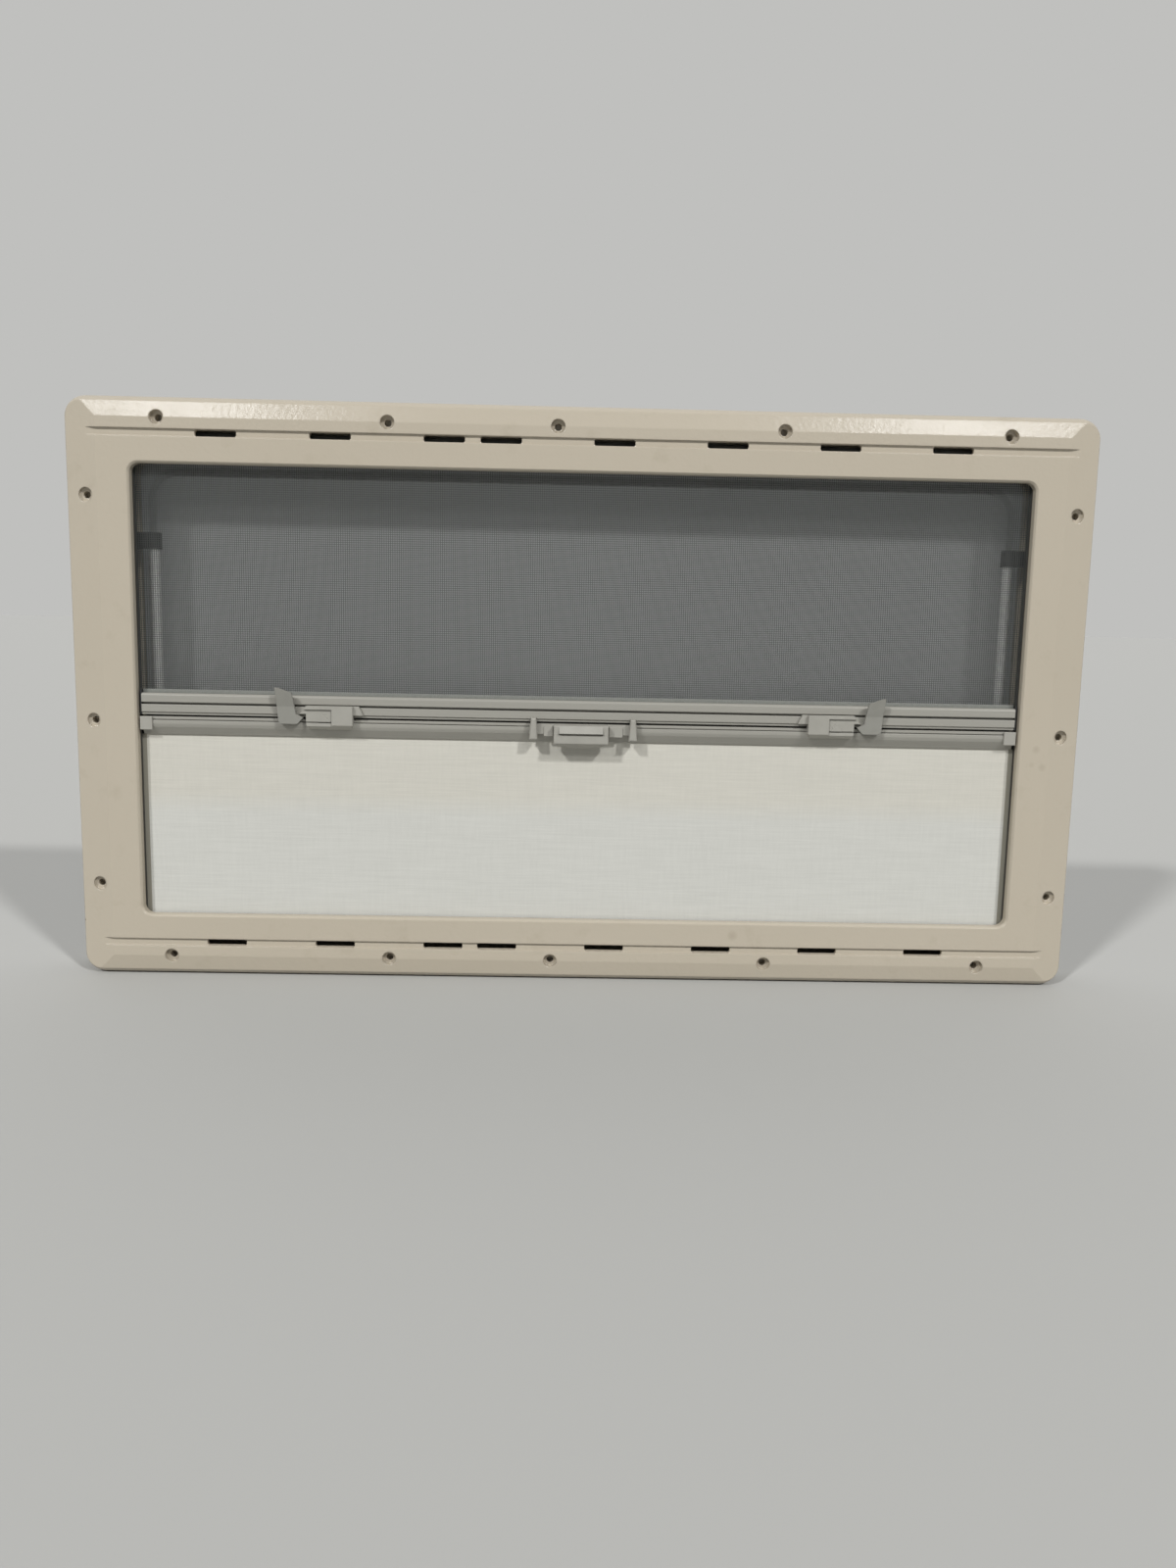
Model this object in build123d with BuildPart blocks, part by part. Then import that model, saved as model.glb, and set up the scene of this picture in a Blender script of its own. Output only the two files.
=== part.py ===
from build123d import *
import os
from math import atan2, degrees, radians, tan

# Top-hung caravan window with a moulded inner frame that holds a roller fly screen and a roller blind.
# Millimetres. X runs along the window, Z is up, and Y points out of the caravan. The origin lies on the
# outer frame's bedding face, in the middle of its bottom strip.
os.makedirs("parts", exist_ok=True)

# Overall outline of both frames, and the wall between them
frame_width = 950.0
frame_height = 540.0
frame_corner = 20.0
wall_thickness = 30.0

# What the frame's border holds, from the opening outwards: a roller, the collar through the wall, the flange
roller_offset = 19.0
roll_radius = 12.0
roll_gap = 5.0
collar_wall = 9.0
flange_width = 15.0
collar_proud = 2.0
collar_corner = 12.0
collar_gap = 2.5

# Inner frame: a thick moulded skin with a hipped bevel, a skirt on the wall and a lip round the opening
frame_standoff = 18.0
frame_skin = 7.0
bevel_top = 19.5
bevel_side = 31.0
bevel_angle = 12.2
edge_round = 14.0
opening_corner = 8.5
lip_depth = 9.0
lip_wall = 4.0
lip_edge = 1.8

# Screw holes of the inner frame: a pair from each end of a row, and one near its middle
screw_radius = 3.2
screw_head_radius = 6.5
boss_radius = 8.0
boss_sides = 8
screw_end_x = 86.0
screw_end_z = 89.0
screw_pitch = 208.0
screw_middle_x = -26.0
screw_middle_z = -25.0

# Vent slots in a shallow groove above and below the opening
groove_offset = 27.2
groove_width = 6.7
groove_depth = 2.0
slot_length = 37.5
slot_width = 5.8
slot_corner = 1.2
slot_pitch = 103.5
slot_groups = (3, 5)

# Outer frame
flange_thickness = 6.0
ring_inset = 8.0
ring_corner = 14.0
rim_wall = 9.0
rim_height = 7.0
rim_edge = 2.0

# Seal and double acrylic sash
seal_width = 9.0
seal_height = 6.0
seal_inset = 5.0
seal_edge = 2.5
sheet_thickness = 3.0
sash_gap = 10.0
sash_corner = 14.0
pan_gap = 5.0
pan_corner = 30.0
pan_depth = 8.0
pan_slope = 50.0
dome_gap = 2.0
dome_depth = 8.0

# Hinge along the sash's top edge
hinge_inset = 16.0
hinge_gap = 5.0
hinge_bead = 2.5
hinge_clearance = 0.5
hinge_wall = 1.5
hinge_leaf = 2.0
hinge_leaf_reach = 20.0
hinge_mouth = 3.2

# Telescopic stays
stay_inset = 9.0
stay_depth = 12.0
stay_drop = 75.0
stay_rise = 60.0
stay_tube_radius = 5.0
stay_tube_length = 165.0
stay_rod_radius = 3.3
stay_clearance = 0.3
stay_rod_overlap = 40.0
stay_knuckle = 7.0
stay_cap_height = 15.0
stay_foot_thickness = 3.0
stay_foot_reach = 20.0
stay_foot_margin = 1.0
stay_arm_lap = 8.0
stay_arm_rise = 4.0
stay_shoe_width = 20.0
stay_shoe_height = 18.0
stay_shoe_shift = 6.5
stay_shoe_plate = 4.0
stay_shoe_corner = 3.0

# Sash latches, shut
latch_x = 270.0
latch_margin = 6.0
latch_base_width = 38.0
latch_base_height = 26.0
latch_base_thickness = 6.0
latch_corner = 4.0
latch_edge = 1.0
latch_lever_thickness = 5.0
latch_lever_rise = 4.0
latch_grip_radius = 8.0
latch_hook_radius = 5.5
keeper_width = 30.0
keeper_height = 13.0
keeper_margin = 1.0
keeper_edge = 1.0

# Rollers, fabrics and guide rails
roller_pin_radius = 3.0
roller_bracket = 4.0
bracket_reach = 10.0
bracket_corner = 4.0
bracket_foot = 14.0
bracket_foot_thickness = 2.5
pin_clearance = 0.3
fabric_reach = 13.0
fabric_clearance = 0.2
screen_thickness = 0.4
blind_thickness = 0.5
rail_lap = 1.0
rail_width = 22.0
rail_wall = 1.5
rail_slot = 3.0
roll_end_gap = 4.0

# Pull bars, meeting below the middle of the opening
bar_meeting = -19.75
bar_gap = 1.9
bar_recess = 4.0
bar_thickness = 11.0
bar_end_gap = 3.5
screen_bar_height = 20.0
blind_bar_height = 17.0
tee_mouth = 1.9
tee_mouth_depth = 2.0
tee_width = 6.0
tee_depth = 2.5
tee_offset = 9.5
bar_step_height = 2.2
bar_step_depth = 1.4
bar_edge = 1.6
bar_arris = 0.4
blind_strip_height = 2.6
blind_line = 0.7
blind_line_depth = 1.2
blind_bend_height = 3.0
blind_bend_depth = 1.0
blind_slope_height = 7.3
blind_slope_depth = 4.7
rib_thickness = 2.0
rib_gap = 0.5
rib_lap = 4.0
rib_foot = 3.0
tongue_clearance = 0.3
tongue_length = 17.0
tongue_height = 12.0
slider_rise = 3.5
slider_recess = 1.0
slider_nose = 5.0
end_cap_width = 9.8
end_cap_height = 12.5
end_cap_thickness = 1.6
end_cap_wall = 1.5

# Handle at the middle of the blind bar
handle_shift = 2.0
handle_base_length = 101.5
handle_base_thickness = 2.0
post_height = 20.8
post_lap = 4.0
post_top_width = 5.0
post_bottom_width = 8.0
post_reach = 9.0
post_round = 1.8
tab_drop = 2.1
tab_height = 9.5
tab_gap = 1.0
tab_left_width = 8.3
tab_right_width = 12.5
tab_rise = 1.5
pull_width = 51.4
pull_drop = 0.5
pull_height = 17.0
pull_reach = 10.0
pull_belly = 5.0
pull_undercut = 8.0
pull_round = 1.2
grip_width = 41.0
grip_height = 6.6
grip_margin = 0.9
grip_rise = 2.3
slit_height = 1.6
slit_depth = 1.6

# Catches at the quarter points
catch_inner = 213.7
catch_width = 43.5
catch_height = 17.9
catch_top_below_bar = 9.0
catch_reach = 7.5
catch_underside = 4.5
catch_ear = 9.2
catch_ear_peak = 5.3
catch_ear_height = 8.5
catch_ear_reach = 4.0
catch_panel_width = 24.0
catch_panel_margin = 3.2
catch_panel_depth = 1.8
catch_slit_height = 1.2
catch_slit_depth = 1.5
catch_button = 11.0
catch_button_gap = 1.5
catch_button_lean = 5.5
catch_button_height = 7.0
catch_button_rise = 1.2
catch_tip = 6.0
lever_gap = 2.9
lever_width = 18.5
lever_beak = 6.6
lever_beak_height = 6.2
lever_neck_height = 9.4
lever_draft = 2.4
lever_lean = 3.2
lever_heel = 3.2
lever_hook = 1.2
lever_raise = 0.7
lever_foot_height = 16.5
lever_foot_lap = 12.0
lever_tab_height = 17.5
lever_tab_dip = 4.8
lever_tab_crest = 2.5
lever_thickness = 3.0
lever_reach = 6.5
lever_flare = 4.0

# How far a cutting profile runs past what it cuts
overshoot = 1.0

# Values that follow from the ones above
border = roller_offset + roll_radius + roll_gap + collar_wall + flange_width
opening_width = frame_width - 2 * border
opening_height = frame_height - 2 * border
collar_width = frame_width - 2 * flange_width
collar_height = frame_height - 2 * flange_width
collar_length = wall_thickness + collar_proud
centre_height = (frame_height - flange_width) / 2
face_depth = wall_thickness + frame_standoff
skin_back = face_depth - frame_skin
lip_back = face_depth - lip_depth
flat_width = frame_width - 2 * bevel_side
flat_height = frame_height - 2 * bevel_top
bevel_run = frame_standoff / tan(radians(bevel_angle))
pocket_width = collar_width + 2 * collar_gap
pocket_height = collar_height + 2 * collar_gap
screw_x = (collar_width - collar_wall) / 2
screw_z = (collar_height - collar_wall) / 2
groove_z = opening_height / 2 + groove_offset
ring_width = opening_width + 2 * ring_inset
ring_height = opening_height + 2 * ring_inset
rim_top = frame_height / 2 - rim_wall
seal_face = -flange_thickness - seal_height
sheet_joint = seal_face - sheet_thickness
sheet_face = sheet_joint - sheet_thickness
pane_depth = seal_face + pan_depth
pan_width = ring_width - 2 * pan_gap
pan_height = ring_height - 2 * pan_gap
pane_bottom = pan_depth * tan(radians(pan_slope)) - pan_height / 2
hinge_depth = sheet_face - hinge_leaf / 2
socket_radius = hinge_bead + hinge_clearance
hinge_radius = socket_radius + hinge_wall
hinge_height = rim_top - hinge_radius
sash_width = frame_width - 2 * (rim_wall + sash_gap)
sash_top = hinge_height - hinge_radius - hinge_gap
sash_bottom = sash_gap - rim_top
sash_height = sash_top - sash_bottom
sash_middle = (sash_top + sash_bottom) / 2
dome_margin = hinge_leaf_reach + dome_gap
hinge_length = sash_width - 2 * hinge_inset
stay_x = opening_width / 2 - stay_inset
stay_top = opening_height / 2 - stay_drop
stay_bottom = stay_rise - opening_height / 2
latch_z = pane_bottom + latch_margin + latch_base_height / 2
latch_face = pane_depth + latch_base_thickness
roller_z = opening_height / 2 + roller_offset
fabric_width = opening_width + 2 * fabric_reach
rail_inner = opening_width / 2 - rail_lap
rail_front = lip_back
rail_back = rail_front - rail_slot - 2 * rail_wall
slot_depth = rail_front - rail_wall - rail_slot / 2
roller_depth = slot_depth - roll_radius
fabric_depth = slot_depth + fabric_clearance
tongue_thickness = rail_slot - 2 * tongue_clearance
bar_front = face_depth - bar_recess
bar_back = bar_front - bar_thickness
bar_half = opening_width / 2 - bar_end_gap
screen_bar_bottom = bar_meeting + bar_gap / 2
screen_bar_top = screen_bar_bottom + screen_bar_height
blind_bar_top = bar_meeting - bar_gap / 2
blind_bar_bottom = blind_bar_top - blind_bar_height


def room(depth):
    """Plane along the wall, this far into the room from the bedding face, drawn as seen from the room."""
    return Plane(origin=(0, -depth, centre_height), x_dir=(1, 0, 0), z_dir=(0, -1, 0))


def across(x=0):
    """Section plane across the window: local x is the depth into the room, local y the height."""
    return Plane(origin=(x, 0, centre_height), x_dir=(0, -1, 0), z_dir=(-1, 0, 0))


def level(z=0):
    """Level plane: local x runs along the window, local y into the room, and its normal points down."""
    return Plane(origin=(0, 0, centre_height + z), x_dir=(1, 0, 0), z_dir=(0, 0, -1))


def save(piece, name):
    """Label a finished piece and write its file."""
    piece.part.label = name
    export_step(piece.part, f"parts/{name}.step")


def save_pair(piece, name):
    """Write a right-hand piece and its mirror image on the left."""
    save(piece, f"{name}_right")
    with BuildPart() as twin:
        mirror(piece.part, about=Plane.YZ)
    save(twin, f"{name}_left")


def span(low, high):
    """Length and middle of a stretch, for a rectangle that is given by its ends."""
    return high - low, (low + high) / 2


def block(x_low, x_high, z_low, z_high):
    """Rectangle of the sketch in hand, given by its left, right, lower and upper sides."""
    width, x_middle = span(x_low, x_high)
    height, z_middle = span(z_low, z_high)
    with Locations((x_middle, z_middle)):
        Rectangle(width, height)


# Inner frame, moulded in one piece: the outline is cut to a hipped bevel, then opened and hollowed
screw_row = frame_width / 2 - screw_end_x
screw_column = frame_height / 2 - screw_end_z
screw_inner = screw_row - screw_pitch
row_places = (-screw_row, -screw_inner, screw_middle_x, screw_inner, screw_row)
column_places = (screw_column, screw_middle_z, -screw_column)
screw_places = [(x, sign * screw_z) for sign in (1, -1) for x in row_places]
screw_places += [(sign * screw_x, z) for sign in (-1, 1) for z in column_places]
slots_on_left, slots_on_right = slot_groups
slots_length = (slots_on_left + slots_on_right - 2) * slot_pitch + slot_pitch / 2
slot_places = [-slots_length / 2 + i * slot_pitch for i in range(slots_on_left)]
slot_places += [slots_length / 2 - i * slot_pitch for i in range(slots_on_right)]

with BuildPart() as inner_frame:
    with BuildSketch(room(wall_thickness)):
        RectangleRounded(frame_width, frame_height, frame_corner)
    extrude(amount=frame_standoff)
    fillet(inner_frame.faces().sort_by(Axis.Y)[0].edges(), edge_round)
    with BuildSketch(room(wall_thickness)):
        Rectangle(flat_width + 2 * bevel_run, flat_height + 2 * bevel_run)
    with BuildSketch(room(face_depth)):
        Rectangle(flat_width, flat_height)
    loft(mode=Mode.INTERSECT)
    with BuildSketch(room(wall_thickness)):
        RectangleRounded(opening_width, opening_height, opening_corner)
    extrude(amount=frame_standoff, mode=Mode.SUBTRACT)
    lip_edges = [edge for edge in inner_frame.edges().group_by(Axis.Y)[0]
                 if abs(edge.center().X) < opening_width / 2 + overshoot
                 and abs(edge.center().Z - centre_height) < opening_height / 2 + overshoot]
    chamfer(lip_edges, lip_edge)
    with BuildSketch(room(wall_thickness)):
        RectangleRounded(pocket_width, pocket_height, collar_corner + collar_gap)
    extrude(amount=skin_back - wall_thickness, mode=Mode.SUBTRACT)
    with BuildSketch(room(lip_back)):
        for wall, mode in ((lip_wall, Mode.ADD), (0, Mode.SUBTRACT)):
            RectangleRounded(opening_width + 2 * wall, opening_height + 2 * wall, opening_corner + wall,
                             mode=mode)
    extrude(amount=skin_back - lip_back)
    with BuildSketch(room(collar_length)):
        with Locations(*screw_places):
            RegularPolygon(boss_radius, boss_sides)
    extrude(amount=skin_back - collar_length)
    with BuildSketch(room(face_depth)):
        with Locations((0, groove_z), (0, -groove_z)):
            Rectangle(frame_width, groove_width)
    extrude(amount=-groove_depth, mode=Mode.SUBTRACT)
    with BuildSketch(room(face_depth)) as slots:
        with Locations(*[(x, sign * groove_z) for sign in (1, -1) for x in slot_places]):
            Rectangle(slot_length, slot_width)
        chamfer(slots.vertices(), slot_corner)
    extrude(amount=-frame_skin, mode=Mode.SUBTRACT)
    with Locations(room(face_depth)):
        with Locations(*screw_places):
            CounterBoreHole(screw_radius, screw_head_radius, frame_skin, face_depth - collar_length)
save(inner_frame, "inner_frame")

# Outer frame: the flange that beds on the wall, the collar through the wall and a rim round the sash
with BuildPart() as outer_frame:
    with BuildSketch(room(0)):
        RectangleRounded(frame_width, frame_height, frame_corner)
        RectangleRounded(ring_width, ring_height, ring_corner, mode=Mode.SUBTRACT)
    extrude(amount=-flange_thickness)
    with BuildSketch(room(0)):
        RectangleRounded(collar_width, collar_height, collar_corner)
        RectangleRounded(collar_width - 2 * collar_wall, collar_height - 2 * collar_wall,
                         collar_corner - collar_wall, mode=Mode.SUBTRACT)
    extrude(amount=collar_length)
    with BuildSketch(room(-flange_thickness)):
        RectangleRounded(frame_width, frame_height, frame_corner)
        RectangleRounded(frame_width - 2 * rim_wall, frame_height - 2 * rim_wall,
                         frame_corner - rim_wall, mode=Mode.SUBTRACT)
    extrude(amount=-rim_height)
    chamfer(outer_frame.faces().sort_by(Axis.Y)[-1].edges(), rim_edge)
save(outer_frame, "outer_frame")

# Rubber seal: a bead that stands on the flange round the opening and carries the shut sash
with BuildPart() as frame_seal:
    with BuildSketch(room(-flange_thickness)):
        for inset, mode in ((seal_inset + seal_width, Mode.ADD), (seal_inset, Mode.SUBTRACT)):
            RectangleRounded(ring_width + 2 * inset, ring_height + 2 * inset, ring_corner + inset, mode=mode)
    extrude(amount=-seal_height)
    chamfer(frame_seal.faces().sort_by(Axis.Y)[-1].edges(), seal_edge)
save(frame_seal, "frame_seal")

# Sash: two formed acrylic sheets, joined round their flat edges
with BuildPart() as sash_inner_sheet:
    with BuildSketch(room(seal_face)):
        with Locations((0, sash_middle)):
            RectangleRounded(sash_width, sash_height, sash_corner)
    extrude(amount=-sheet_thickness)
    with BuildSketch(room(seal_face)):
        RectangleRounded(pan_width, pan_height, pan_corner)
    extrude(amount=pan_depth, taper=pan_slope)
    with BuildSketch(room(sheet_joint)):
        RectangleRounded(pan_width, pan_height, pan_corner)
    extrude(amount=pan_depth, taper=pan_slope, mode=Mode.SUBTRACT)
save(sash_inner_sheet, "sash_inner_sheet")

with BuildPart() as sash_outer_sheet:
    with BuildSketch(room(sheet_joint)):
        with Locations((0, sash_middle)):
            RectangleRounded(sash_width, sash_height, sash_corner)
    extrude(amount=-sheet_thickness)
    with BuildSketch(room(sheet_face)):
        with Locations((0, sash_middle)):
            RectangleRounded(sash_width - 2 * dome_margin, sash_height - 2 * dome_margin, pan_corner)
    extrude(amount=-dome_depth, taper=pan_slope)
    with BuildSketch(room(sheet_joint)):
        with Locations((0, sash_middle)):
            RectangleRounded(sash_width - 2 * dome_margin, sash_height - 2 * dome_margin, pan_corner)
    extrude(amount=-dome_depth, taper=pan_slope, mode=Mode.SUBTRACT)
save(sash_outer_sheet, "sash_outer_sheet")

# Hinge: a rail on the outer frame with a round socket, and a strip on the sash whose bead hangs in it
with BuildPart() as hinge_rail:
    with BuildSketch(across()):
        with Locations((hinge_depth, hinge_height)):
            Circle(hinge_radius)
        block(hinge_depth, -flange_thickness, rim_top - hinge_wall, rim_top)
        block(-flange_thickness - hinge_leaf, -flange_thickness, hinge_height - hinge_radius, rim_top)
        with Locations((hinge_depth, hinge_height)):
            Circle(socket_radius, mode=Mode.SUBTRACT)
        with Locations((hinge_depth, hinge_height - hinge_radius)):
            Rectangle(hinge_mouth, 2 * hinge_radius, mode=Mode.SUBTRACT)
    extrude(amount=hinge_length / 2, both=True)
save(hinge_rail, "hinge_rail")

with BuildPart() as sash_hinge_strip:
    with BuildSketch(across()):
        with Locations((hinge_depth, hinge_height)):
            Circle(hinge_bead)
        block(sheet_face - hinge_leaf, sheet_face, sash_top - hinge_leaf_reach, hinge_height)
    extrude(amount=hinge_length / 2, both=True)
save(sash_hinge_strip, "sash_hinge_strip")

# Stays: a cap on the outer frame with a round knuckle, a tube, a rod that slides in it and a shoe on the sash
foot_inner = ring_width / 2 + stay_foot_margin
cap_top = stay_top + stay_cap_height
with BuildPart() as stay_cap:
    with BuildSketch(room(0)):
        block(foot_inner, foot_inner + stay_foot_reach, stay_top, cap_top)
    extrude(amount=stay_foot_thickness)
    with BuildSketch(level(cap_top)):
        with Locations((stay_x, stay_depth)):
            Circle(stay_knuckle)
        block(stay_x, foot_inner + stay_arm_lap, stay_foot_thickness, stay_depth + stay_arm_rise)
    extrude(amount=stay_cap_height)
save_pair(stay_cap, "stay_cap")

with BuildPart() as stay_tube:
    with BuildSketch(level(stay_top)):
        with Locations((stay_x, stay_depth)):
            Circle(stay_tube_radius)
            Circle(stay_rod_radius + stay_clearance, mode=Mode.SUBTRACT)
    extrude(amount=stay_tube_length)
save_pair(stay_tube, "stay_tube")

with BuildPart() as stay_rod:
    with BuildSketch(level(stay_bottom)):
        with Locations((stay_x, stay_depth)):
            Circle(stay_rod_radius)
    extrude(amount=stay_bottom - (stay_top - stay_tube_length + stay_rod_overlap))
save_pair(stay_rod, "stay_rod")

shoe_x = stay_x - stay_shoe_shift
with BuildPart() as stay_shoe:
    with BuildSketch(room(pane_depth)) as plate:
        with Locations((shoe_x, stay_bottom - stay_shoe_height / 2)):
            Rectangle(stay_shoe_width, stay_shoe_height)
        chamfer(plate.vertices(), stay_shoe_corner)
    extrude(amount=stay_shoe_plate)
    with BuildSketch(level(stay_bottom)):
        with Locations((stay_x, stay_depth)):
            Circle(stay_knuckle)
        block(shoe_x - stay_shoe_corner, stay_x, pane_depth, stay_depth + stay_arm_rise)
    extrude(amount=stay_shoe_height)
save_pair(stay_shoe, "stay_shoe")

# Sash latches: a base on the sash, a lever with a broad grip and a narrow hook, and a keeper on the frame
with BuildPart() as latch_base:
    with BuildSketch(room(pane_depth)) as plate:
        with Locations((latch_x, latch_z)):
            Rectangle(latch_base_width, latch_base_height)
        chamfer(plate.vertices(), latch_corner)
    extrude(amount=latch_base_thickness)
    chamfer(latch_base.faces().sort_by(Axis.Y)[0].edges(), latch_edge)
save_pair(latch_base, "latch_base")

keeper_top = -ring_height / 2 - keeper_margin
keeper_bottom = keeper_top - keeper_height
with BuildPart() as latch_lever:
    with BuildSketch(room(latch_face)):
        with Locations((latch_x, latch_z + latch_base_height / 2 + latch_lever_rise - latch_grip_radius)):
            Circle(latch_grip_radius)
        with Locations((latch_x, keeper_bottom + latch_hook_radius)):
            Circle(latch_hook_radius)
        make_hull()
    extrude(amount=latch_lever_thickness)
save_pair(latch_lever, "latch_lever")

with BuildPart() as latch_keeper:
    with BuildSketch(room(0)):
        block(latch_x - keeper_width / 2, latch_x + keeper_width / 2, keeper_bottom, keeper_top)
    extrude(amount=latch_face)
    chamfer(latch_keeper.edges().filter_by(Axis.Y), keeper_edge)
save_pair(latch_keeper, "latch_keeper")

# Guide rails: channels behind the lip that hold the edges of both fabrics
with BuildPart() as guide_rail:
    with BuildSketch(level(-opening_height / 2 - lip_wall)):
        block(rail_inner, rail_inner + rail_width, rail_back, rail_front)
    extrude(amount=-(opening_height + 2 * lip_wall))
    with BuildSketch(level(-opening_height / 2 - lip_wall)):
        block(rail_inner, rail_inner + rail_width - rail_wall, rail_back + rail_wall, rail_front - rail_wall)
    extrude(amount=-(opening_height + 2 * lip_wall), mode=Mode.SUBTRACT)
save_pair(guide_rail, "guide_rail")

# Rollers with their wound fabric, and the brackets that carry them inside the inner frame
bracket_inner = fabric_width / 2 + roll_end_gap
for name, height in (("screen", roller_z), ("blind", -roller_z)):
    with BuildPart() as roller:
        for radius, reach in ((roll_radius, fabric_width / 2),
                              (roller_pin_radius, bracket_inner + roller_bracket)):
            with BuildSketch(across()):
                with Locations((roller_depth, height)):
                    Circle(radius)
            extrude(amount=reach, both=True)
    save(roller, f"{name}_roller")

    with BuildPart() as bracket:
        with BuildSketch(across(bracket_inner)) as plate:
            block(roller_depth - bracket_reach, skin_back, height - bracket_reach, height + bracket_reach)
            chamfer(plate.vertices().group_by(Axis.X)[0], bracket_corner)
            with Locations((roller_depth, height)):
                Circle(roller_pin_radius + pin_clearance, mode=Mode.SUBTRACT)
        extrude(amount=-roller_bracket)
        with BuildSketch(room(skin_back)):
            block(bracket_inner, bracket_inner + bracket_foot, height - bracket_reach, height + bracket_reach)
        extrude(amount=-bracket_foot_thickness)
    save_pair(bracket, f"{name}_bracket")

# The fabrics, drawn off the rollers to the pull bars
with BuildPart() as fly_screen:
    with BuildSketch(room(fabric_depth)):
        block(-fabric_width / 2, fabric_width / 2, screen_bar_top, roller_z)
    extrude(amount=screen_thickness)
save(fly_screen, "fly_screen")

with BuildPart() as blind_fabric:
    with BuildSketch(room(fabric_depth)):
        block(-fabric_width / 2, fabric_width / 2, -roller_z, blind_bar_bottom)
    extrude(amount=blind_thickness)
save(blind_fabric, "blind_fabric")

# Pull bars: extrusions, the screen's with a T slot along its front and the blind's with a sloped foot and, at
# its back, a rib that stands behind the screen bar and shuts the gap between them
tee_z = screen_bar_top - tee_offset
with BuildPart() as screen_bar:
    with BuildSketch(across()):
        with BuildLine():
            Polyline((bar_back, screen_bar_bottom), (bar_front - bar_step_depth, screen_bar_bottom),
                     (bar_front - bar_step_depth, screen_bar_bottom + bar_step_height),
                     (bar_front, screen_bar_bottom + bar_step_height), (bar_front, screen_bar_top - bar_edge),
                     (bar_front - bar_edge, screen_bar_top), (bar_back, screen_bar_top), close=True)
        make_face()
        with Locations((bar_front - tee_mouth_depth / 2, tee_z)):
            Rectangle(tee_mouth_depth, tee_mouth, mode=Mode.SUBTRACT)
        with Locations((bar_front - tee_mouth_depth - tee_depth / 2, tee_z)):
            Rectangle(tee_depth, tee_width, mode=Mode.SUBTRACT)
    extrude(amount=bar_half, both=True)
    chamfer(screen_bar.edges().filter_by(Axis.X).group_by(Axis.Y)[0], bar_arris)
save(screen_bar, "screen_bar")

strip_face = bar_front - bar_step_depth
strip_bottom = blind_bar_top - blind_strip_height
slope_top = blind_bar_bottom + blind_slope_height
bend_face = bar_front - blind_bend_depth
rib_front = bar_back - rib_gap
rib_back = rib_front - rib_thickness
rib_top = screen_bar_bottom + rib_lap
with BuildPart() as blind_bar:
    with BuildSketch(across()):
        with BuildLine():
            Polyline((rib_front, blind_bar_top), (strip_face, blind_bar_top), (strip_face, strip_bottom),
                     (strip_face - blind_line_depth, strip_bottom),
                     (strip_face - blind_line_depth, strip_bottom - blind_line),
                     (bar_front, strip_bottom - blind_line), (bar_front, slope_top + blind_bend_height),
                     (bend_face, slope_top), (bend_face - blind_slope_depth, blind_bar_bottom),
                     (bar_back, blind_bar_bottom), (bar_back, blind_bar_top - rib_foot),
                     (rib_back, blind_bar_top - rib_foot), (rib_back, rib_top), (rib_front, rib_top),
                     close=True)
        make_face()
    extrude(amount=bar_half, both=True)
    chamfer(blind_bar.edges().filter_by(Axis.X).group_by(Axis.Y)[0], bar_arris)
save(blind_bar, "blind_bar")

# Ends of the bars: plates with tongues that slide in the rails, the blind bar's with a cap over its front
tongue_low = slot_depth - tongue_thickness / 2
with BuildPart() as screen_slider:
    with BuildSketch(room(tongue_low)):
        middle = (screen_bar_top + screen_bar_bottom) / 2
        block(bar_half, bar_half + tongue_length, middle - tongue_height / 2, middle + tongue_height / 2)
    extrude(amount=tongue_thickness)
    with BuildSketch(room(bar_back)):
        block(bar_half, bar_half + end_cap_wall, screen_bar_bottom, screen_bar_top)
    extrude(amount=bar_thickness - slider_recess)
    with BuildSketch(room(bar_front - slider_recess)):
        block(bar_half, bar_half + end_cap_wall, screen_bar_top, screen_bar_top + slider_rise)
    extrude(amount=-slider_nose)
save_pair(screen_slider, "screen_slider")

with BuildPart() as blind_bar_end:
    cap_bottom = blind_bar_top - end_cap_height
    with BuildSketch(room(bar_front)):
        block(bar_half - end_cap_width, bar_half + end_cap_wall, cap_bottom, blind_bar_top)
    extrude(amount=end_cap_thickness)
    fillet(blind_bar_end.faces().sort_by(Axis.Y)[0].edges(), end_cap_thickness / 3)
    with BuildSketch(room(tongue_low)):
        block(bar_half, bar_half + end_cap_wall, cap_bottom, blind_bar_top)
    extrude(amount=bar_front - tongue_low)
    with BuildSketch(room(tongue_low)):
        block(bar_half, bar_half + tongue_length, cap_bottom, cap_bottom + tongue_height)
    extrude(amount=tongue_thickness)
save_pair(blind_bar_end, "blind_bar_end")

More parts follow.
